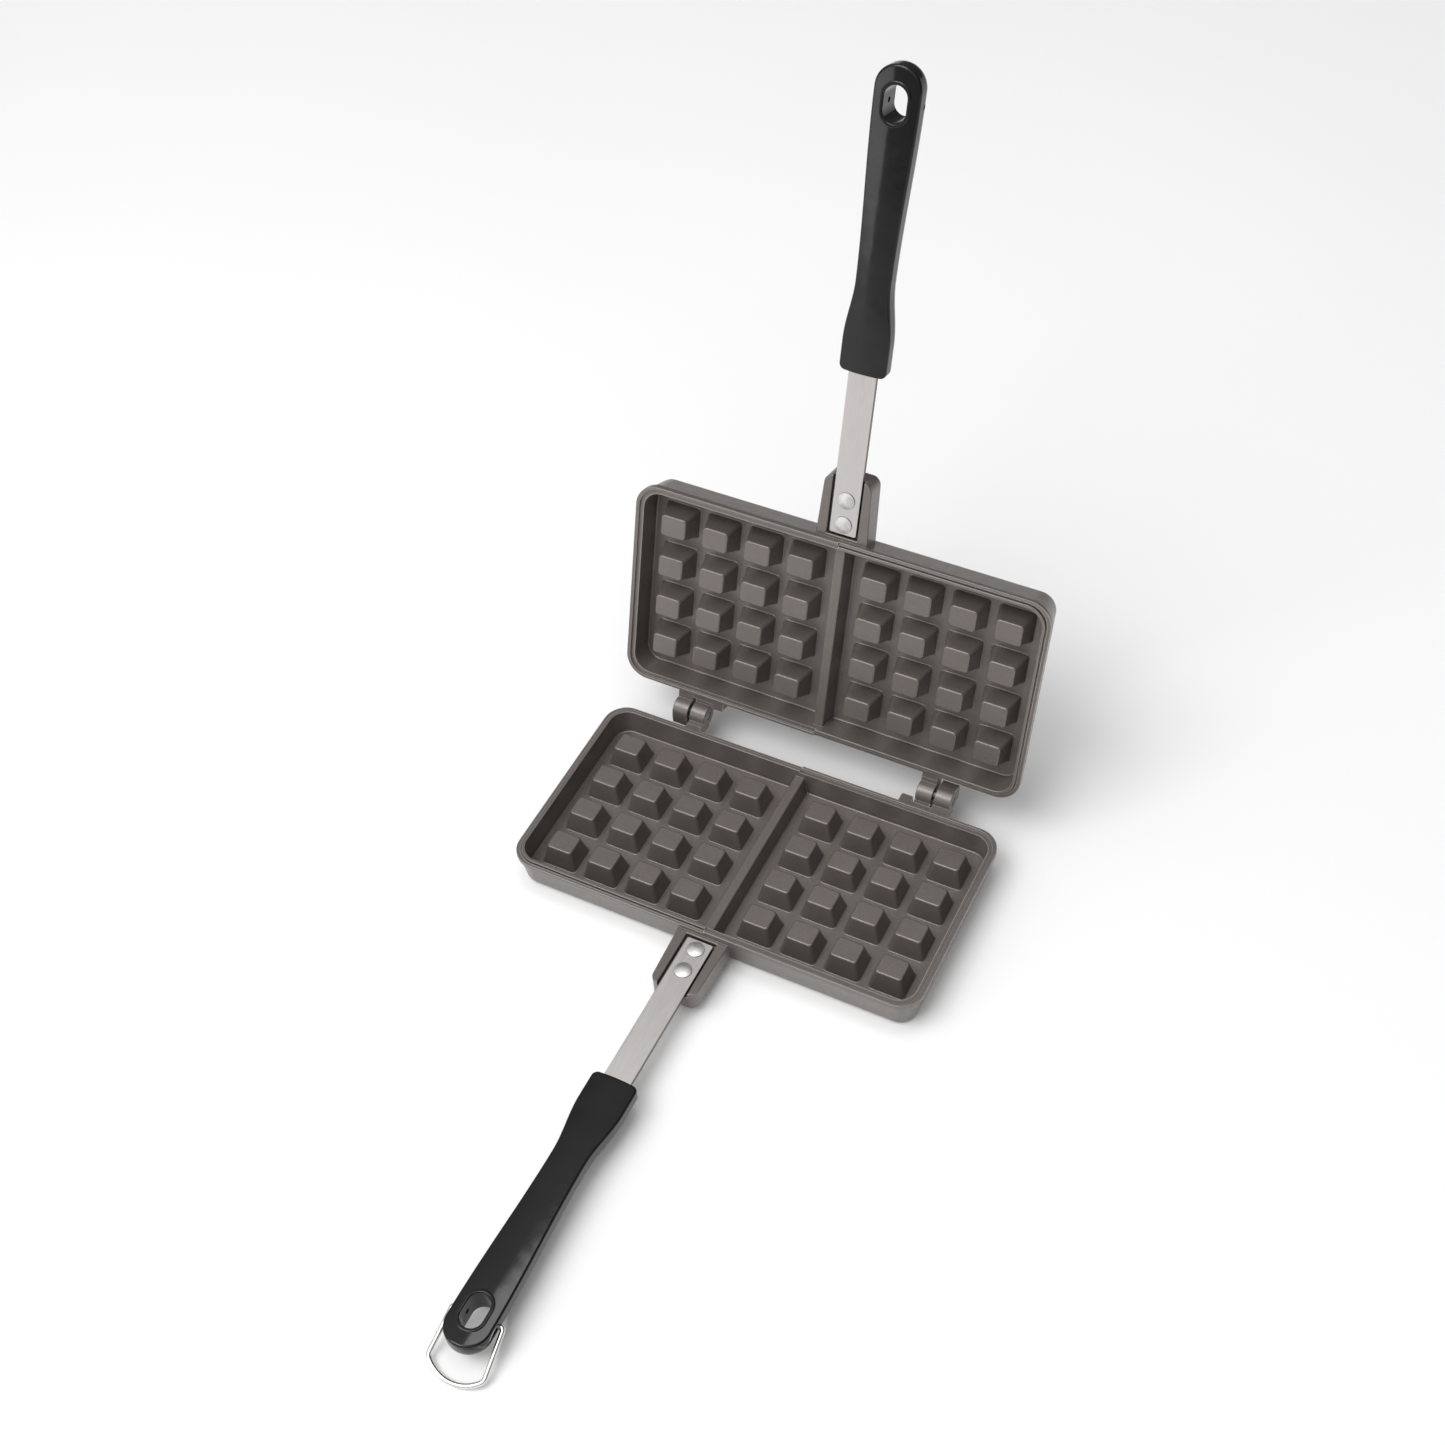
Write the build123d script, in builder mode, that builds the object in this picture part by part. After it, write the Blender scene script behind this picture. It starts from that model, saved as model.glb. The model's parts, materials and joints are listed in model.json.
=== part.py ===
"""Hinged double waffle iron for the hob: two alike castings, strap handles, grips and a locking bail.

Millimetres, +Z up.  The origin is the middle of the lower plate's flat underside.  The handles
point to -Y and the hinge is at +Y.  The iron lies open: the base half is on the table and the lid
half is swung back.
"""

import math
import os

from build123d import *

os.makedirs("parts", exist_ok=True)

# Plate casting
RIM_X, RIM_Y, RIM_R = 188.2, 96.8, 10.5
PLATE_H = 17.5                      # underside to the plane where the two plates meet
FLANGE_H = 2.6                      # depth of the rim band below the meeting plane
FLANGE_STEP = 0.8                   # the wall below the band stands in by this much
FLANGE_EDGE_R = 0.3
BODY_DRAFT = 9.0
BODY_EDGE_R = 3.0
FLOOR_Z = 5.5                       # well floor
WELL_X, WELL_Y, WELL_R = 180.2, 89.2, 7.5   # measured at the floor
WELL_DRAFT = 2.4

# Interlocking rim: a tongue on one half of the rim, a rebate on the other
TONGUE_X, TONGUE_Y, TONGUE_R = 183.7, 93.2, 9.0
GROOVE_W = 0.6
GROOVE_DEPTH = 1.1
REBATE_X, REBATE_Y, REBATE_R = 184.6, 94.1, 9.4
LIP_RISE = 0.45
LIP_DROP = 0.50
LIP_EDGE_R = 0.3
LIP_JOINT = 0.15                    # tongue and rebate stop this far short of the middle

# Pegs that press the grid into the waffle
PEG_PITCH = 20.0
PEG_FIRST_X = 16.8
PEG_BASE_X, PEG_BASE_Y = 15.9, 14.0
PEG_H = 10.0
PEG_DRAFT = 11.9
PEG_CORNER_R = 1.6
PEG_EDGE_R = 0.8
PEG_PAD_T = 0.5
FOOT_R = 0.6
WELL_FOOT_R = 0.9

# Ridge between the two wells
RIDGE_TOP_W, RIDGE_FOOT_W, RIDGE_H = 4.4, 7.0, 8.8
RIDGE_EDGE_R = 0.7

# Hinge
HINGE_Y = 57.5
OPEN_ANGLE = 106.6
KNUCKLE_R = 5.0
KNUCKLE_W = 7.4
KNUCKLE_EDGE_R = 0.4
INNER_KNUCKLE_X = 54.9              # middle of the knuckle nearer the ridge
OUTER_KNUCKLE_X = 63.5
ARM_TOP, ARM_DEPTH = 0.4, 6.0
PIN_R = 2.0
PIN_CLEARANCE = 0.05
PIN_INSET, PIN_L = 0.3, 15.4        # the pin's ends lie just inside the two knuckles' faces
SHELF_TOP, SHELF_DEPTH = 0.6, 5.0
SHELF_REAR_Y = 50.8
SHELF_X0, SHELF_X1 = 45.0, 60.0
STUB_W, STUB_REAR_Y, STUB_CORNER_R = 5.5, 53.4, 0.8
STOP_GAP = 0.05
STOP_FROM, STOP_TO = 1.0, 4.6       # stretch of the stop lug along the shelf's rear face
HEEL_L, HEEL_BACK, HEEL_R = 6.3, 2.0, 1.0   # squared heel of the outer knuckle

# Handle boss
BOSS_END_Y = -76.5
BOSS_ROOT_W, BOSS_END_W = 23.4, 20.8
BOSS_CORNER_R = 4.0
BOSS_ROOT_Y, BOSS_ROOT_R = -45.6, 3.0
BOSS_Z0, BOSS_TOP = 4.5, 15.0
BOSS_TOP_EDGE_R, BOSS_LOW_EDGE_R = 0.5, 1.0
CHANNEL_W = 13.8
CHANNEL_END_Y = -49.8

# Strap
STRAP_W, STRAP_T = 12.0, 2.0
STRAP_TOP = 14.4
STRAP_END_Y, TANG_END_Y = -50.7, -158.0
RIVET_YS = (-55.3, -66.4)
RIVET_R, RIVET_HEAD_R, RIVET_RISE, RIVET_BRIM, RIVET_TAIL_H = 2.1, 3.65, 1.0, 0.35, 1.2

# Grip
GRIP_FRONT_Y, GRIP_NECK_Y, GRIP_TAIL_Y = -122.9, -160.8, -243.2
GRIP_FRONT_W, GRIP_NECK_W, GRIP_TAIL_W = 20.0, 14.6, 18.8
GRIP_TOP, GRIP_T = 16.9, 12.0
GRIP_BACK_R = 6.8                   # the back is rounded nearly to half the width
GRIP_FRONT_R, GRIP_FACE_R = 2.5, 1.0
GRIP_CROWN = 1.2
HANG_Y, HANG_L, HANG_W = -228.8, 14.0, 9.2
BEAD_W, BEAD_RISE, BEAD_EDGE_R = 1.5, 0.25, 0.5
SCREW_Y, SCREW_R, SCREW_HEAD_R, SCREW_HEAD_H, SCREW_RECESS = -138.0, 1.9, 3.5, 2.4, 0.8

# Bail
BAIL_Y, BAIL_Z = -228.4, 10.9
WIRE_R = 1.05
BAIL_HOLE_R = 1.12
BAIL_EAR_X = 10.75                  # wire centre where it turns into the grip
BAIL_CORNER_X, BAIL_CORNER_L = 11.9, 19.4
BAIL_L = 24.7                       # pivot to wire centre at the middle of the bow
BAIL_END_X = 5.3
BAIL_EAR_R, BAIL_CORNER_R = 1.3, 3.0
BAIL_DROOP = math.degrees(math.asin((BAIL_Z - WIRE_R - 0.02) / BAIL_L))

HINGE_AXIS = (HINGE_Y, PLATE_H)
peg_places = [
    (side * (PEG_FIRST_X + PEG_PITCH * column), PEG_PITCH * (row - 1.5), FLOOR_Z)
    for side in (-1, 1)
    for column in range(4)
    for row in range(4)
]


def slanted(edge):
    """True for an edge that leaves its starting height."""
    return abs((edge @ 1).Z - (edge @ 0).Z) > 1


def level_at(height):
    """A test that is true for an edge lying flat at that height."""
    return lambda edge: max(abs((edge @ t).Z - height) for t in (0, 0.5, 1)) < 1e-3


def around_foot(edge):
    """True for the edges where the peg stands on its pad."""
    middle = edge.center()
    inside = abs(middle.X) < PEG_BASE_X / 2 + FOOT_R and abs(middle.Y) < PEG_BASE_Y / 2 + FOOT_R
    return inside and abs(middle.Z) < PEG_PAD_T / 2


# ---- plate casting -------------------------------------------------------------------------

with BuildPart() as peg:
    with BuildSketch():
        Rectangle(PEG_BASE_X, PEG_BASE_Y)
    extrude(amount=PEG_H, taper=PEG_DRAFT)
    fillet(peg.edges().filter_by(slanted), PEG_CORNER_R)
    # a thin pad, sunk into the floor, carries the fillet around the foot
    with BuildSketch():
        Rectangle(PEG_BASE_X + 4 * FOOT_R, PEG_BASE_Y + 4 * FOOT_R)
    extrude(amount=-PEG_PAD_T)
    fillet(peg.edges().filter_by(around_foot), FOOT_R)
    fillet(peg.faces().sort_by(Axis.Z)[-1].edges(), PEG_EDGE_R)

with BuildPart() as boss:
    with BuildSketch(Plane.XY.offset(BOSS_Z0)) as boss_plan:
        with BuildLine():
            Polyline(
                (-BOSS_ROOT_W / 2 - BOSS_CORNER_R, -RIM_Y / 2 + 6),
                (-BOSS_ROOT_W / 2 - BOSS_CORNER_R, BOSS_ROOT_Y),
                (-BOSS_ROOT_W / 2, BOSS_ROOT_Y),
                (-BOSS_END_W / 2, BOSS_END_Y),
                (BOSS_END_W / 2, BOSS_END_Y),
                (BOSS_ROOT_W / 2, BOSS_ROOT_Y),
                (BOSS_ROOT_W / 2 + BOSS_CORNER_R, BOSS_ROOT_Y),
                (BOSS_ROOT_W / 2 + BOSS_CORNER_R, -RIM_Y / 2 + 6),
                close=True,
            )
        make_face()
        corners = boss_plan.vertices().group_by(Axis.Y)
        fillet(corners[0], BOSS_CORNER_R)
        fillet(corners[1].sort_by(Axis.X)[1:3], BOSS_ROOT_R)
    extrude(amount=BOSS_TOP - BOSS_Z0)
    fillet(boss.faces().sort_by(Axis.Z)[0].edges(), BOSS_LOW_EDGE_R)
    # channel that the strap lies in
    with BuildSketch(Plane.XY.offset(STRAP_TOP - STRAP_T)):
        with Locations((0, CHANNEL_END_Y)):
            Rectangle(CHANNEL_W, 40, align=(Align.CENTER, Align.MAX))
    extrude(amount=STRAP_T * 3, mode=Mode.SUBTRACT)
    fillet(boss.faces().sort_by(Axis.Z)[-1].edges(), BOSS_TOP_EDGE_R)

with BuildPart() as knuckle:
    with BuildSketch(Plane.YZ):
        with Locations((0, PLATE_H - ARM_TOP)):
            Rectangle(HINGE_Y, ARM_DEPTH, align=(Align.MIN, Align.MAX))
        with Locations(HINGE_AXIS):
            Circle(KNUCKLE_R)
    extrude(amount=KNUCKLE_W / 2, both=True)
    fillet(knuckle.faces().sort_by(Axis.X)[0].edges(), KNUCKLE_EDGE_R)
    fillet(knuckle.faces().sort_by(Axis.X)[-1].edges(), KNUCKLE_EDGE_R)

with BuildPart() as lower_plate:
    # rim band and the drafted wall under it
    with BuildSketch(Plane.XY.offset(PLATE_H - FLANGE_H)):
        RectangleRounded(RIM_X, RIM_Y, RIM_R)
    extrude(amount=FLANGE_H + LIP_RISE)
    fillet(lower_plate.faces().sort_by(Axis.Z)[0].edges(), FLANGE_EDGE_R)
    with BuildSketch(Plane.XY.offset(PLATE_H - FLANGE_H)):
        RectangleRounded(RIM_X - 2 * FLANGE_STEP, RIM_Y - 2 * FLANGE_STEP, RIM_R - FLANGE_STEP)
    extrude(amount=-(PLATE_H - FLANGE_H), taper=BODY_DRAFT)
    fillet(lower_plate.faces().sort_by(Axis.Z)[0].edges(), BODY_EDGE_R)

    # knuckles on their arms: the inner one at -X, the outer one at +X
    with Locations((-INNER_KNUCKLE_X, 0, 0), (OUTER_KNUCKLE_X, 0, 0)):
        add(knuckle.part)

    # shelf with its stub; the other plate's inner knuckle turns behind it
    with BuildSketch(Plane.XY.offset(PLATE_H - SHELF_TOP)):
        with Locations(((SHELF_X0 + SHELF_X1) / 2, 0)):
            Rectangle(SHELF_X1 - SHELF_X0, SHELF_REAR_Y, align=(Align.CENTER, Align.MIN))
        with Locations((SHELF_X0 + STUB_W / 2, 0)):
            Rectangle(STUB_W, STUB_REAR_Y, align=(Align.CENTER, Align.MIN))
    extrude(amount=-SHELF_DEPTH)
    fillet(
        lower_plate.edges()
        .filter_by(Axis.Z)
        .filter_by(lambda edge: abs(edge.center().Y - STUB_REAR_Y) < 0.01),
        STUB_CORNER_R,
    )

    # stop lug on the inner knuckle: its flat meets the other plate's shelf when the lid is open
    with BuildSketch(Plane.YZ.offset(-INNER_KNUCKLE_X)):
        with Locations(Location(HINGE_AXIS, 180 - OPEN_ANGLE)):
            with Locations((0, -(STOP_FROM + STOP_TO) / 2)):
                Rectangle(
                    HINGE_Y - SHELF_REAR_Y - STOP_GAP,
                    STOP_TO - STOP_FROM,
                    align=(Align.MIN, Align.CENTER),
                )
    extrude(amount=KNUCKLE_W / 2, both=True)

    # squared heel on the outer knuckle
    with BuildSketch(Plane.YZ.offset(OUTER_KNUCKLE_X)):
        with Locations(Location(HINGE_AXIS, 180 - OPEN_ANGLE)):
            with Locations((-HEEL_BACK, 0)):
                RectangleRounded(
                    KNUCKLE_R + HEEL_BACK, HEEL_L, HEEL_R, align=(Align.MIN, Align.MAX)
                )
    extrude(amount=KNUCKLE_W / 2, both=True)

    # handle boss
    add(boss.part)

    # wells, with the ridge between them
    with BuildSketch(Plane.XY.offset(FLOOR_Z)):
        RectangleRounded(WELL_X, WELL_Y, WELL_R)
    extrude(amount=PLATE_H, taper=-WELL_DRAFT, mode=Mode.SUBTRACT)
    with BuildSketch(Plane.XZ):
        with BuildLine():
            Polyline(
                (-RIDGE_FOOT_W / 2, FLOOR_Z),
                (-RIDGE_TOP_W / 2, FLOOR_Z + RIDGE_H),
                (RIDGE_TOP_W / 2, FLOOR_Z + RIDGE_H),
                (RIDGE_FOOT_W / 2, FLOOR_Z),
                close=True,
            )
        make_face()
    extrude(amount=WELL_Y / 2 + 0.5, both=True)
    fillet(lower_plate.edges().filter_by(level_at(FLOOR_Z + RIDGE_H)).filter_by(Axis.Y), RIDGE_EDGE_R)
    fillet(lower_plate.edges().filter_by(level_at(FLOOR_Z)), WELL_FOOT_R)

    # interlocking rim
    for side, (width, depth, corner) in (
        (-1, (TONGUE_X, TONGUE_Y, TONGUE_R)),
        (1, (REBATE_X, REBATE_Y, REBATE_R)),
    ):
        with BuildSketch(Plane.XY.offset(PLATE_H - LIP_DROP)):
            if side < 0:
                RectangleRounded(RIM_X + 4, RIM_Y + 4, RIM_R)
                RectangleRounded(width, depth, corner, mode=Mode.SUBTRACT)
            else:
                RectangleRounded(width, depth, corner)
            with Locations((-side * LIP_JOINT, 0)):
                Rectangle(
                    RIM_X,
                    RIM_Y * 2,
                    align=(Align.MAX if side < 0 else Align.MIN, Align.CENTER),
                    mode=Mode.INTERSECT,
                )
        extrude(amount=LIP_RISE * 4, mode=Mode.SUBTRACT)
    with BuildSketch(Plane.XY.offset(PLATE_H - GROOVE_DEPTH)):
        RectangleRounded(TONGUE_X + 2 * GROOVE_W, TONGUE_Y + 2 * GROOVE_W, TONGUE_R + GROOVE_W)
        RectangleRounded(TONGUE_X, TONGUE_Y, TONGUE_R, mode=Mode.SUBTRACT)
        with Locations((-LIP_JOINT, 0)):
            Rectangle(RIM_X, RIM_Y * 2, align=(Align.MAX, Align.CENTER), mode=Mode.INTERSECT)
    extrude(amount=GROOVE_DEPTH, mode=Mode.SUBTRACT)
    for on_this_half in (lambda edge: edge.center().X < -1, lambda edge: edge.center().X > 1):
        lip_edges = lower_plate.edges().filter_by(level_at(PLATE_H + LIP_RISE))
        fillet(lip_edges.filter_by(on_this_half), LIP_EDGE_R)

    # pegs
    with Locations(*peg_places):
        add(peg.part)

    # bores for the hinge pins and the handle rivets
    for knuckle_x, bore_r in (
        (-INNER_KNUCKLE_X, PIN_R + PIN_CLEARANCE),
        (OUTER_KNUCKLE_X, PIN_R),
    ):
        with BuildSketch(Plane.YZ.offset(knuckle_x)):
            with Locations(HINGE_AXIS):
                Circle(bore_r)
        extrude(amount=KNUCKLE_W, both=True, mode=Mode.SUBTRACT)
    with BuildSketch():
        with Locations(*[(0, y) for y in RIVET_YS]):
            Circle(RIVET_R)
    extrude(amount=PLATE_H, mode=Mode.SUBTRACT)


# ---- strap, rivets, grip and grip screw of the base half -------------------------------------

with BuildPart() as strap:
    with BuildSketch(Plane.XY.offset(STRAP_TOP - STRAP_T)):
        with Locations((0, STRAP_END_Y)):
            Rectangle(STRAP_W, STRAP_END_Y - TANG_END_Y, align=(Align.CENTER, Align.MAX))
    extrude(amount=STRAP_T)
    fillet(strap.edges().filter_by(Axis.Z), 1.0)
    with BuildSketch():
        with Locations(*[(0, y) for y in RIVET_YS]):
            Circle(RIVET_R)
        with Locations((0, SCREW_Y)):
            Circle(SCREW_R)
    extrude(amount=PLATE_H, mode=Mode.SUBTRACT)
    fillet(strap.faces().sort_by(Axis.Z)[-1].edges().filter_by(Axis.Y), 0.3)
    fillet(strap.faces().sort_by(Axis.Z)[0].edges().filter_by(Axis.Y), 0.3)

rivets = []
for rivet_y in RIVET_YS:
    with BuildPart() as rivet:
        with BuildSketch(Plane.YZ):
            with BuildLine():
                Polyline(
                    (rivet_y, STRAP_TOP + RIVET_RISE),
                    (rivet_y, BOSS_Z0 - RIVET_TAIL_H),
                    (rivet_y + RIVET_HEAD_R - 0.5, BOSS_Z0 - RIVET_TAIL_H),
                    (rivet_y + RIVET_HEAD_R, BOSS_Z0),
                    (rivet_y + RIVET_R, BOSS_Z0),
                    (rivet_y + RIVET_R, STRAP_TOP),
                    (rivet_y + RIVET_HEAD_R, STRAP_TOP),
                    (rivet_y + RIVET_HEAD_R, STRAP_TOP + RIVET_BRIM),
                )
                TangentArc(
                    (rivet_y, STRAP_TOP + RIVET_RISE),
                    (rivet_y + RIVET_HEAD_R, STRAP_TOP + RIVET_BRIM),
                    tangent=(1, 0),
                )
            make_face()
        revolve(axis=Axis((0, rivet_y, 0), (0, 0, 1)))
    rivets.append(rivet.part)

with BuildPart() as grip:
    # plan outline: square front, waisted neck, round tail
    with BuildSketch(Plane.XY.offset(GRIP_TOP)):
        with BuildLine():
            side = Spline(
                (GRIP_FRONT_W / 2, GRIP_FRONT_Y - 12),
                (GRIP_NECK_W / 2, GRIP_NECK_Y),
                (GRIP_TAIL_W / 2, GRIP_TAIL_Y + GRIP_TAIL_W / 2),
                tangents=((0, -1), (0, -1), (0, -1)),
            )
            Line((GRIP_FRONT_W / 2, GRIP_FRONT_Y), (GRIP_FRONT_W / 2, GRIP_FRONT_Y - 12))
            Line((0, GRIP_FRONT_Y), (GRIP_FRONT_W / 2, GRIP_FRONT_Y))
            RadiusArc(side @ 1, (0, GRIP_TAIL_Y), GRIP_TAIL_W / 2)
            mirror(about=Plane.YZ)
        make_face()
    extrude(amount=-GRIP_T)
    # crowned face
    with BuildSketch(Plane.XZ.offset(-GRIP_FRONT_Y)):
        with BuildLine():
            crown = ThreePointArc(
                (-GRIP_FRONT_W / 2, GRIP_TOP - GRIP_CROWN),
                (0, GRIP_TOP),
                (GRIP_FRONT_W / 2, GRIP_TOP - GRIP_CROWN),
            )
            Polyline(
                crown @ 0,
                (-GRIP_FRONT_W / 2, GRIP_TOP - GRIP_T),
                (GRIP_FRONT_W / 2, GRIP_TOP - GRIP_T),
                crown @ 1,
            )
        make_face()
    extrude(amount=GRIP_FRONT_Y - GRIP_TAIL_Y, mode=Mode.INTERSECT)
    # rounded back, rounded front end, softened face edge
    back_edges = grip.faces().sort_by(Axis.Z)[0].edges()
    fillet(back_edges.sort_by(Axis.Y)[:-1], GRIP_BACK_R)
    front_edges = grip.faces().sort_by(Axis.Y)[-1].edges()
    fillet(front_edges.sort_by(Axis.Z)[:-1], GRIP_FRONT_R)
    fillet(grip.faces().sort_by(Axis.Z)[-1].edges(), GRIP_FACE_R)
    # hang hole with a raised bead around it
    with BuildSketch(Plane.XY.offset(GRIP_TOP + BEAD_RISE)):
        with Locations(Location((0, HANG_Y), 90)):
            SlotOverall(HANG_L + 2 * BEAD_W, HANG_W + 2 * BEAD_W)
    extrude(amount=-GRIP_T / 2)
    with BuildSketch():
        with Locations(Location((0, HANG_Y), 90)):
            SlotOverall(HANG_L, HANG_W)
    extrude(amount=GRIP_TOP * 2, mode=Mode.SUBTRACT)
    fillet(grip.faces().sort_by(Axis.Z)[-1].edges(), BEAD_EDGE_R)
    # socket for the tang
    with BuildSketch(Plane.XY.offset(STRAP_TOP - STRAP_T)):
        with Locations((0, GRIP_FRONT_Y + 1)):
            Rectangle(STRAP_W, GRIP_FRONT_Y + 1 - TANG_END_Y, align=(Align.CENTER, Align.MAX))
    extrude(amount=STRAP_T, mode=Mode.SUBTRACT)
    # screw hole and its recess in the back
    with BuildSketch():
        with Locations((0, SCREW_Y)):
            Circle(SCREW_R)
    extrude(amount=STRAP_TOP, mode=Mode.SUBTRACT)
    with BuildSketch():
        with Locations((0, SCREW_Y)):
            Circle(SCREW_HEAD_R)
    extrude(amount=GRIP_TOP - GRIP_T + SCREW_RECESS + SCREW_HEAD_H, mode=Mode.SUBTRACT)
    # cross bore that the ends of the bail turn in
    with BuildSketch(Plane.YZ):
        with Locations((BAIL_Y, BAIL_Z)):
            Circle(BAIL_HOLE_R)
    extrude(amount=GRIP_TAIL_W, both=True, mode=Mode.SUBTRACT)

screw_head_z = GRIP_TOP - GRIP_T + SCREW_RECESS
with BuildPart() as grip_screw:
    with Locations((0, SCREW_Y, screw_head_z)):
        Cylinder(SCREW_HEAD_R, SCREW_HEAD_H, align=(Align.CENTER, Align.CENTER, Align.MIN))
        Cylinder(SCREW_R, STRAP_TOP - screw_head_z, align=(Align.CENTER, Align.CENTER, Align.MIN))
    fillet(grip_screw.faces().sort_by(Axis.Z)[0].edges(), 0.6)
    with BuildSketch(Plane.XY.offset(screw_head_z)):
        with Locations((0, SCREW_Y)):
            Rectangle(4.4, 0.9)
            Rectangle(0.9, 4.4)
    extrude(amount=1.3, mode=Mode.SUBTRACT)


# ---- the base half, and the lid half: the same pieces turned over and swung open -------------

TURNED = Location((0, 0, 2 * PLATE_H), (0, 180, 0))
SWUNG = (
    Location((0, HINGE_Y, PLATE_H))
    * Location((0, 0, 0), (-OPEN_ANGLE, 0, 0))
    * Location((0, -HINGE_Y, -PLATE_H))
)
half = {
    "plate": lower_plate.part,
    "strap": strap.part,
    "inner_rivet": rivets[0],
    "outer_rivet": rivets[1],
    "grip": grip.part,
    "grip_screw": grip_screw.part,
}
for piece, shape in half.items():
    shape.label = f"lower_{piece}"
    export_step(shape, f"parts/lower_{piece}.step")
    with BuildPart() as upper:
        with Locations(SWUNG * TURNED):
            add(shape)
    upper.part.label = f"upper_{piece}"
    export_step(upper.part, f"parts/upper_{piece}.step")


# ---- hinge pins, pressed into the outer knuckles ---------------------------------------------

for name, side in (("left", -1), ("right", 1)):
    with BuildPart() as hinge_pin:
        with BuildSketch(Plane.YZ.offset(side * (INNER_KNUCKLE_X - KNUCKLE_W / 2 + PIN_INSET))):
            with Locations(HINGE_AXIS):
                Circle(PIN_R)
        extrude(amount=side * PIN_L)
        chamfer(hinge_pin.edges().filter_by(GeomType.CIRCLE), 0.3)
    hinge_pin.part.label = f"hinge_pin_{name}"
    export_step(hinge_pin.part, f"parts/hinge_pin_{name}.step")


# ---- locking bail, drooped so that its bow rests on the table --------------------------------

bail_plane = Plane(origin=(0, BAIL_Y, BAIL_Z), x_dir=(1, 0, 0), z_dir=(0, 0, 1)).rotated(
    (BAIL_DROOP, 0, 0)
)
with BuildPart() as lock_bail:
    with BuildLine(bail_plane) as wire_path:
        Polyline((-BAIL_END_X, 0), (-BAIL_EAR_X, 0), (-BAIL_CORNER_X, -BAIL_CORNER_L))
        ThreePointArc(
            (-BAIL_CORNER_X, -BAIL_CORNER_L),
            (0, -BAIL_L),
            (BAIL_CORNER_X, -BAIL_CORNER_L),
        )
        Polyline((BAIL_CORNER_X, -BAIL_CORNER_L), (BAIL_EAR_X, 0), (BAIL_END_X, 0))
        by_x = wire_path.vertices().group_by(Axis.X)
        fillet([*by_x[0], *by_x[-1]], BAIL_CORNER_R)
        by_y = wire_path.vertices().group_by(Axis.Y)[-1].sort_by(Axis.X)
        fillet([by_y[0], by_y[-1]], BAIL_EAR_R)
    with BuildSketch(Plane(origin=wire_path.line @ 0, z_dir=wire_path.line % 0)):
        Circle(WIRE_R)
    sweep()
lock_bail.part.label = "lock_bail"
export_step(lock_bail.part, "parts/lock_bail.step")
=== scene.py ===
"""Looks of the opened stovetop waffle iron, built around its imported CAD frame.  Metres."""

import json
import math
import bpy
from mathutils import Matrix, Vector

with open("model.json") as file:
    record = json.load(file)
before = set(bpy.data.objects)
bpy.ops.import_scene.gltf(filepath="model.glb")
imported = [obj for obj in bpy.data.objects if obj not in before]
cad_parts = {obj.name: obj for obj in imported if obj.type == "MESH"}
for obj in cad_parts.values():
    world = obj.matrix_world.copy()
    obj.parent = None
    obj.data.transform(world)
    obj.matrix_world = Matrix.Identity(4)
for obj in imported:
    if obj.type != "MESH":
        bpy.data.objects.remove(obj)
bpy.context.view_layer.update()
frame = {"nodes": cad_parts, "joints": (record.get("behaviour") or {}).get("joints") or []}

nodes = frame["nodes"]
lid_hinge = next(j for j in frame["joints"] if j["name"] == "lid_hinge")
OPEN_ANGLE = math.radians(lid_hinge["range_deg"][1])

# the studio: how bright the room is away from and towards its brightest direction
WORLD_LOW, WORLD_HIGH = 0.13, 1.12
WORLD_BRIGHT = (-0.20, -0.45, 0.87)
FLOOR_HALF, FLOOR_DROP = 6.0, 0.0003

# the photographer's place, in front, to the right and above
CAMERA_PLACE = (0.2486, -0.4454, 0.6901)
CAMERA_AIM = (-0.0439, 0.0568, 0.0175)
CAMERA_ROLL = math.radians(-4.61)
CAMERA_LENS, CAMERA_SENSOR = 49.36, 36.0


# ---- node helpers ----------------------------------------------------------------------------


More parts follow.
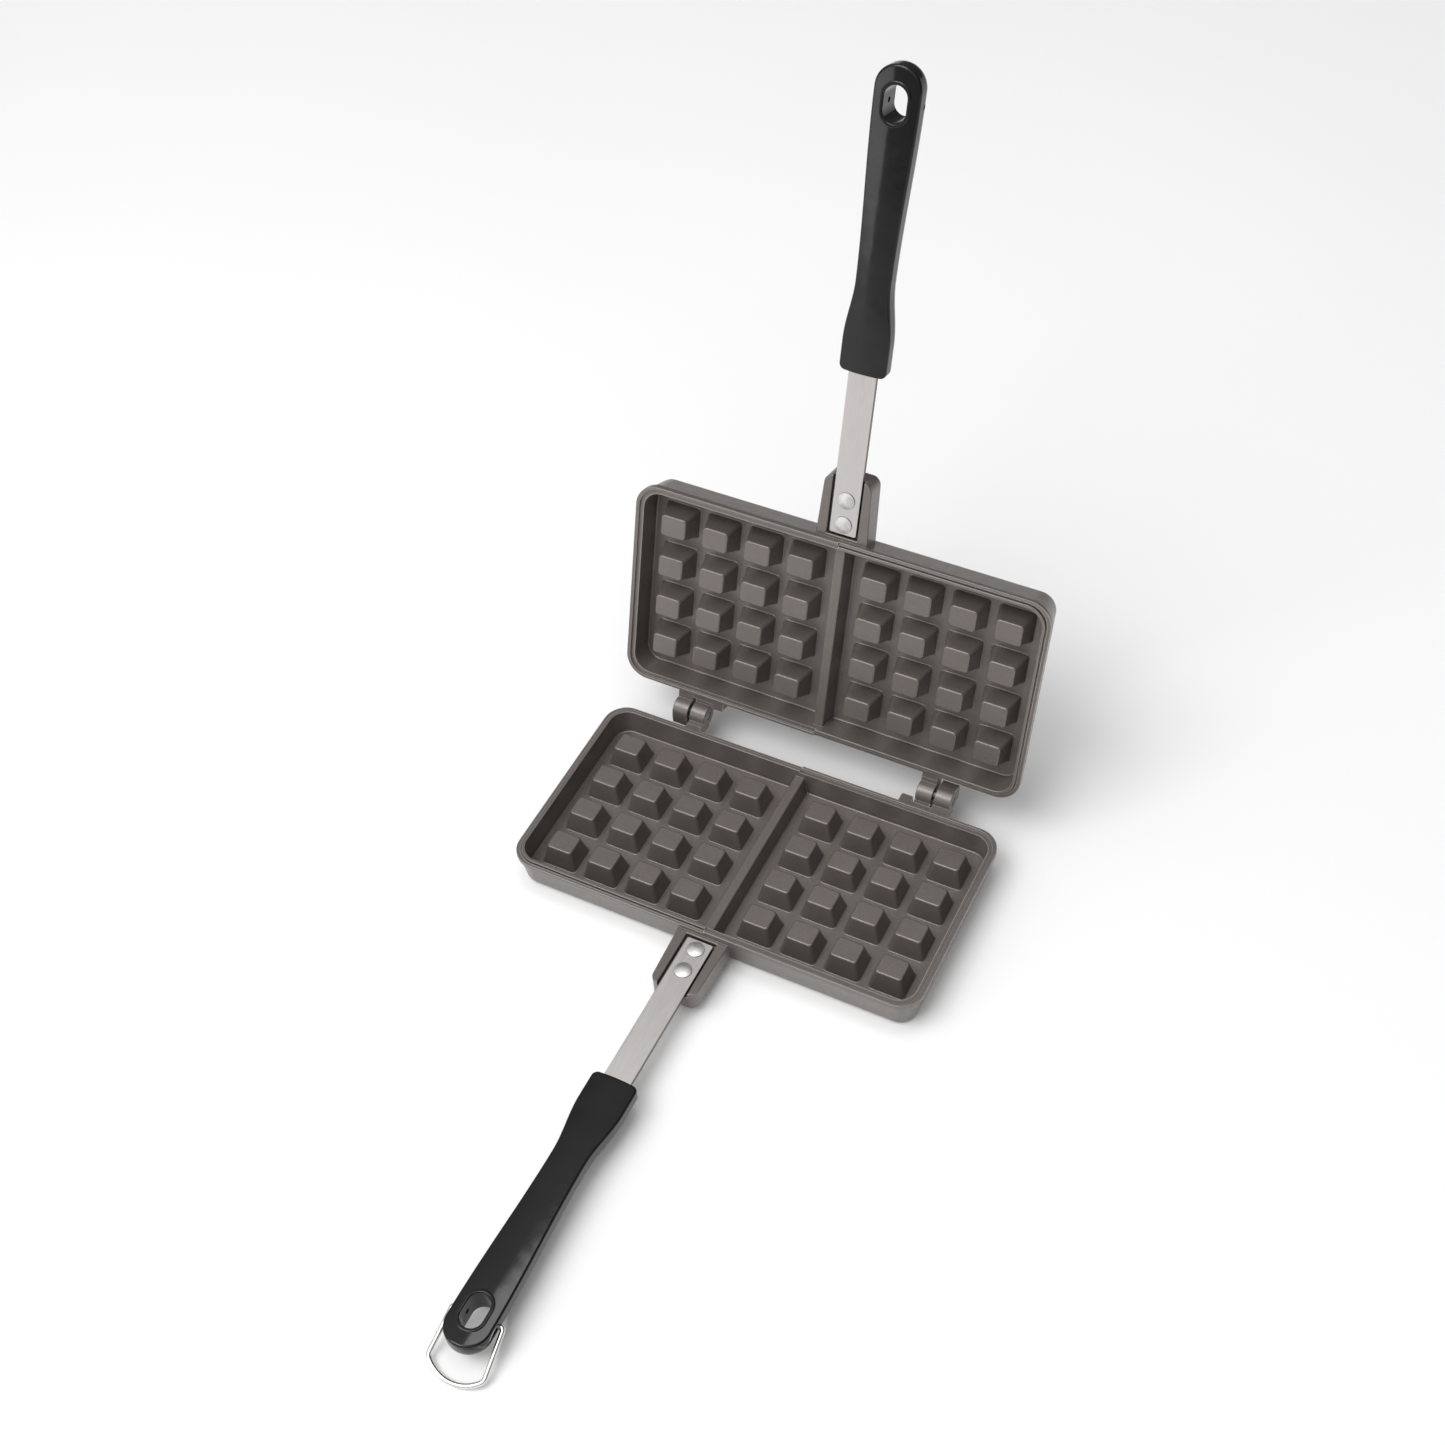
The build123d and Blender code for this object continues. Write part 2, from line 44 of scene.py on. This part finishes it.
class Tree:
    """A material's node tree, with short calls for the nodes that the finishes share."""

    def __init__(self, name):
        self.material = bpy.data.materials.new(name)
        self.material.use_nodes = True
        self.nodes = self.material.node_tree.nodes
        self.links = self.material.node_tree.links
        self.bsdf = self.nodes["Principled BSDF"]
        self.place = self.add("ShaderNodeTexCoord").outputs["Object"]

    def add(self, kind, **settings):
        node = self.nodes.new(kind)
        for key, value in settings.items():
            setattr(node, key, value)
        return node

    def put(self, socket, value):
        if isinstance(value, bpy.types.NodeSocket):
            self.links.new(value, socket)
        else:
            socket.default_value = value

    def turned(self, angle, stretch=(1, 1, 1)):
        """Coordinates turned about X by an angle, then stretched."""
        spin = self.add("ShaderNodeMapping")
        self.put(spin.inputs["Vector"], self.place)
        spin.inputs["Rotation"].default_value = (angle, 0, 0)
        scale = self.add("ShaderNodeMapping")
        self.put(scale.inputs["Vector"], spin.outputs["Vector"])
        scale.inputs["Scale"].default_value = stretch
        return scale.outputs["Vector"]

    def noise(self, scale, detail=2.0, vector=None):
        node = self.add("ShaderNodeTexNoise")
        self.put(node.inputs["Vector"], vector or self.place)
        node.inputs["Scale"].default_value = scale
        node.inputs["Detail"].default_value = detail
        return node.outputs["Fac"]

    def spread(self, value, low, high, out_low=0.0, out_high=1.0):
        node = self.add("ShaderNodeMapRange")
        self.put(node.inputs["Value"], value)
        for key, number in (
            ("From Min", low),
            ("From Max", high),
            ("To Min", out_low),
            ("To Max", out_high),
        ):
            node.inputs[key].default_value = number
        return node.outputs["Result"]

    def mix(self, factor, a, b):
        node = self.add("ShaderNodeMix", data_type="RGBA")
        self.put(node.inputs["Factor"], factor)
        for key, value in (("A", a), ("B", b)):
            socket = next(s for s in node.inputs if s.name == key and s.type == "RGBA")
            self.put(socket, value if isinstance(value, bpy.types.NodeSocket) else (*value, 1))
        return next(s for s in node.outputs if s.type == "RGBA")

    def edges(self, radius, low=0.02, high=0.20):
        """1 on edges that are sharper than radius, 0 on open faces: the mask where the finishes
        paint highlights along edges.
        """
        bevel = self.add("ShaderNodeBevel", samples=6)
        bevel.inputs["Radius"].default_value = radius
        dot = self.add("ShaderNodeVectorMath", operation="DOT_PRODUCT")
        self.put(dot.inputs[0], bevel.outputs["Normal"])
        self.put(dot.inputs[1], self.add("ShaderNodeNewGeometry").outputs["Normal"])
        return self.spread(dot.outputs["Value"], 1 - low, 1 - high)

    def crevice_shade(self, distance, depth):
        """Painted shade mask: up to depth in narrow corners and gaps, 0 on open faces."""
        near = self.add("ShaderNodeAmbientOcclusion", samples=8)
        near.inputs["Distance"].default_value = distance
        return self.spread(near.outputs["AO"], 0.35, 0.85, depth, 0.0)

    def side_shade(self):
        """1 on faces that look along X, as a strip's sheared sides do: the mask for painted
        shade on those sides.
        """
        split = self.add("ShaderNodeSeparateXYZ")
        self.put(split.inputs[0], self.add("ShaderNodeNewGeometry").outputs["Normal"])
        size = self.add("ShaderNodeMath", operation="ABSOLUTE")
        self.put(size.inputs[0], split.outputs["X"])
        return self.spread(size.outputs[0], 0.5, 0.9)

    def bump(self, height, distance, below=None):
        node = self.add("ShaderNodeBump")
        self.put(node.inputs["Height"], height)
        node.inputs["Distance"].default_value = distance
        if below:
            self.put(node.inputs["Normal"], below)
        return node.outputs["Normal"]

    def finish(self, **inputs):
        for key, value in inputs.items():
            socket = self.bsdf.inputs[key.replace("_", " ")]
            if isinstance(value, tuple) and len(value) == 3:
                value = (*value, 1)
            self.put(socket, value)
        return self.material


# ---- finishes --------------------------------------------------------------------------------


def nonstick():
    """Warm grey non-stick coat sprayed over cast aluminium."""
    t = Tree("nonstick_coat")
    mottle = t.spread(t.noise(38, 3), 0.3, 0.7)
    speck = t.spread(t.noise(2600, 2), 0.35, 0.7)
    coat = t.mix(mottle, (0.126, 0.108, 0.099), (0.146, 0.126, 0.116))
    coat = t.mix(speck, coat, (0.172, 0.150, 0.138))
    # painted shade: the coat darkened nearly to black in narrow corners and gaps
    coat = t.mix(t.crevice_shade(0.0020, 0.8), coat, (0.022, 0.019, 0.017))
    # painted highlight: the coat lightened along sharp edges
    coat = t.mix(t.edges(0.0006, 0.015, 0.11), coat, (0.46, 0.425, 0.40))
    grain = t.bump(t.noise(1500, 3), 0.00006)
    grain = t.bump(t.noise(160, 2), 0.00010, grain)
    rough = t.spread(t.noise(420, 3), 0.3, 0.7, 0.30, 0.41)
    return t.finish(
        Base_Color=coat,
        Roughness=rough,
        Normal=grain,
        Metallic=0.35,
        Specular_IOR_Level=0.5,
        Coat_Weight=0.3,
        Coat_Roughness=0.2,
    )


def brushed_steel(name, angle, painted_brightness):
    """Stainless strap, brushed along its length; the last argument scales its brightness as
    painted light, lighter for the lower strap and darker for the upper.
    """
    t = Tree(name)
    lines = t.turned(angle, (1, 0.02, 1))
    streak = t.noise(6500, 2, lines)
    broad = t.noise(500, 2, lines)
    dull, bright, warm = (
        tuple(painted_brightness * part for part in colour)
        for colour in ((0.55, 0.52, 0.51), (0.64, 0.61, 0.60), (0.62, 0.59, 0.58))
    )
    steel = t.mix(t.spread(streak, 0.3, 0.7), dull, bright)
    steel = t.mix(t.spread(broad, 0.35, 0.65, 0, 0.5), steel, warm)
    # painted shade: the steel darkened nearly to black in narrow corners and gaps
    steel = t.mix(t.crevice_shade(0.0010, 0.8), steel, (0.05, 0.045, 0.04))
    # painted highlight: the steel lightened along sharp edges
    steel = t.mix(t.edges(0.0004), steel, (0.80, 0.79, 0.77))
    # painted shade: the strap's sides, which face along X, darkened
    steel = t.mix(t.side_shade(), steel, (0.13, 0.12, 0.115))
    rough = t.spread(streak, 0.3, 0.7, 0.30, 0.40)
    return t.finish(
        Base_Color=steel, Roughness=rough, Normal=t.bump(streak, 0.000006), Metallic=1.0
    )


def peened_aluminium():
    """Rivet heads set by a domed tool."""
    t = Tree("rivet_aluminium")
    patch = t.spread(t.noise(700, 3), 0.3, 0.7)
    colour = t.mix(patch, (0.60, 0.585, 0.58), (0.72, 0.705, 0.70))
    # painted shade: the rivets darkened nearly to black in narrow gaps, as dark rings around
    # the heads
    colour = t.mix(t.crevice_shade(0.0022, 1.0), colour, (0.03, 0.028, 0.026))
    rough = t.spread(t.noise(1200, 2), 0.3, 0.7, 0.38, 0.52)
    dents = t.bump(t.noise(600, 2), 0.00004)
    return t.finish(Base_Color=colour, Roughness=rough, Normal=dents, Metallic=1.0)


def pin_steel():
    """Dull dark steel of the hinge pins."""
    t = Tree("pin_steel")
    colour = t.mix(t.spread(t.noise(900, 3), 0.3, 0.7), (0.24, 0.23, 0.22), (0.40, 0.39, 0.38))
    return t.finish(
        Base_Color=colour,
        Roughness=t.spread(t.noise(1500, 2), 0.3, 0.7, 0.3, 0.5),
        Normal=t.bump(t.noise(2500, 2), 0.00002),
        Metallic=1.0,
    )


def phenolic():
    """Glossy black moulded grip with the faint waviness of a hot-pressed part."""
    t = Tree("grip_phenolic")
    cloud = t.spread(t.noise(60, 3), 0.3, 0.7)
    colour = t.mix(cloud, (0.0045, 0.0041, 0.0045), (0.0075, 0.0070, 0.0074))
    # painted highlight: the black lightened along sharp edges
    colour = t.mix(t.edges(0.0004), colour, (0.02, 0.02, 0.02))
    rough = t.spread(t.noise(900, 4), 0.3, 0.75, 0.08, 0.15)
    wave = t.bump(t.noise(90, 1), 0.00010)
    fine = t.bump(t.noise(2200, 2), 0.000003, wave)
    return t.finish(Base_Color=colour, Roughness=rough, Normal=fine, Specular_IOR_Level=0.40)


def bright_wire():
    """Drawn stainless wire with faint die lines."""
    t = Tree("bail_wire")
    drawn = t.spread(t.noise(1800, 3, t.turned(0, (1, 0.15, 0.15))), 0.3, 0.7)
    colour = t.mix(drawn, (0.66, 0.65, 0.63), (0.80, 0.79, 0.77))
    return t.finish(
        Base_Color=colour,
        Roughness=t.spread(drawn, 0, 1, 0.16, 0.22),
        Normal=t.bump(drawn, 0.000002),
        Metallic=1.0,
    )


def plated_screw():
    """Nickel-plated screw heads in the grips' backs."""
    t = Tree("screw_nickel")
    cloud = t.spread(t.noise(1100, 3), 0.3, 0.7)
    colour = t.mix(cloud, (0.50, 0.49, 0.47), (0.66, 0.65, 0.62))
    return t.finish(
        Base_Color=colour,
        Roughness=t.spread(t.noise(2000, 2), 0.3, 0.7, 0.2, 0.34),
        Normal=t.bump(t.noise(3000, 2), 0.00001),
        Metallic=1.0,
    )


coat = nonstick()
# painted light: one steel, painted lighter on the lower strap and darker on the upper
lower_steel = brushed_steel("strap_steel_lower", 0, 1.12)
upper_steel = brushed_steel("strap_steel_upper", OPEN_ANGLE, 0.92)
rivet_metal = peened_aluminium()
black = phenolic()
screw_metal = plated_screw()
finish_of = {
    "lower_plate": coat,
    "upper_plate": coat,
    "lower_strap": lower_steel,
    "upper_strap": upper_steel,
    "lower_inner_rivet": rivet_metal,
    "lower_outer_rivet": rivet_metal,
    "upper_inner_rivet": rivet_metal,
    "upper_outer_rivet": rivet_metal,
    "lower_grip": black,
    "upper_grip": black,
    "lower_grip_screw": screw_metal,
    "upper_grip_screw": screw_metal,
    "hinge_pin_left": pin_steel(),
    "hinge_pin_right": pin_steel(),
    "lock_bail": bright_wire(),
}
for name, node in nodes.items():
    node.data.materials.clear()
    node.data.materials.append(finish_of[name])


# ---- floor, light and camera -----------------------------------------------------------------


def floor():
    mesh = bpy.data.meshes.new("studio_floor")
    corners = [(-1, -1), (1, -1), (1, 1), (-1, 1)]
    points = [(x * FLOOR_HALF, y * FLOOR_HALF, -FLOOR_DROP) for x, y in corners]
    mesh.from_pydata(points, [], [(0, 1, 2, 3)])
    piece = bpy.data.objects.new("studio_floor", mesh)
    bpy.context.scene.collection.objects.link(piece)
    t = Tree("studio_paper")
    paper = t.mix(t.spread(t.noise(3, 2), 0.3, 0.7), (0.95, 0.95, 0.95), (0.97, 0.97, 0.97))
    mesh.materials.append(t.finish(Base_Color=paper, Roughness=0.9))


def area_light(name, place, aim, size, radiance):
    """A soft box of that radiance, seen in reflections but not by the camera."""
    data = bpy.data.lights.new(name, "AREA")
    data.shape = "RECTANGLE"
    data.size, data.size_y = size
    data.energy = radiance * math.pi * size[0] * size[1]
    lamp = bpy.data.objects.new(name, data)
    bpy.context.scene.collection.objects.link(lamp)
    lamp.location = place
    lamp.rotation_euler = (Vector(aim) - Vector(place)).to_track_quat("-Z", "Y").to_euler()
    lamp.visible_camera = False


def studio():
    """A white room, brightest overhead and in front, with three soft boxes."""
    scene = bpy.context.scene
    scene.view_settings.view_transform = "Standard"
    world = bpy.data.worlds.new("studio")
    scene.world = world
    world.use_nodes = True
    tree = world.node_tree
    back = tree.nodes["Background"]
    back.inputs["Color"].default_value = (1, 1, 1, 1)
    towards = tree.nodes.new("ShaderNodeVectorMath")
    towards.operation = "DOT_PRODUCT"
    towards.inputs[1].default_value = Vector(WORLD_BRIGHT).normalized()
    room = tree.nodes.new("ShaderNodeMapRange")
    room.interpolation_type = "SMOOTHSTEP"
    for key, number in (
        ("From Min", 0.25),
        ("From Max", 1.0),
        ("To Min", WORLD_LOW),
        ("To Max", WORLD_HIGH),
    ):
        room.inputs[key].default_value = number
    sky = tree.nodes.new("ShaderNodeTexCoord")
    tree.links.new(sky.outputs["Generated"], towards.inputs[0])
    tree.links.new(towards.outputs["Value"], room.inputs["Value"])
    tree.links.new(room.outputs["Result"], back.inputs["Strength"])
    middle = (0, 0, 0.1)
    area_light("box_front", (-0.42, -0.78, 1.65), middle, (1.2, 0.9), 4.6)
    area_light("box_back", (-0.05, 0.17, 1.75), (0, -0.1, 0), (0.55, 0.42), 4.0)
    area_light("box_left", (-1.25, -1.75, 0.42), middle, (0.8, 0.9), 1.7)


def camera():
    """A camera at the photographer's place, at a slight roll."""
    place = Vector(CAMERA_PLACE)
    data = bpy.data.cameras.new("camera")
    data.sensor_width = CAMERA_SENSOR
    data.lens = CAMERA_LENS
    data.clip_end = 20
    shot = bpy.data.objects.new("camera", data)
    bpy.context.scene.collection.objects.link(shot)
    forward = (Vector(CAMERA_AIM) - place).normalized()
    level_right = forward.cross(Vector((0, 0, 1))).normalized()
    level_up = level_right.cross(forward)
    right = level_right * math.cos(CAMERA_ROLL) + level_up * math.sin(CAMERA_ROLL)
    up = right.cross(forward)
    turn = Matrix((right, up, -forward)).transposed()
    shot.matrix_world = Matrix.Translation(place) @ turn.to_4x4()
    bpy.context.scene.camera = shot


floor()
studio()
camera()
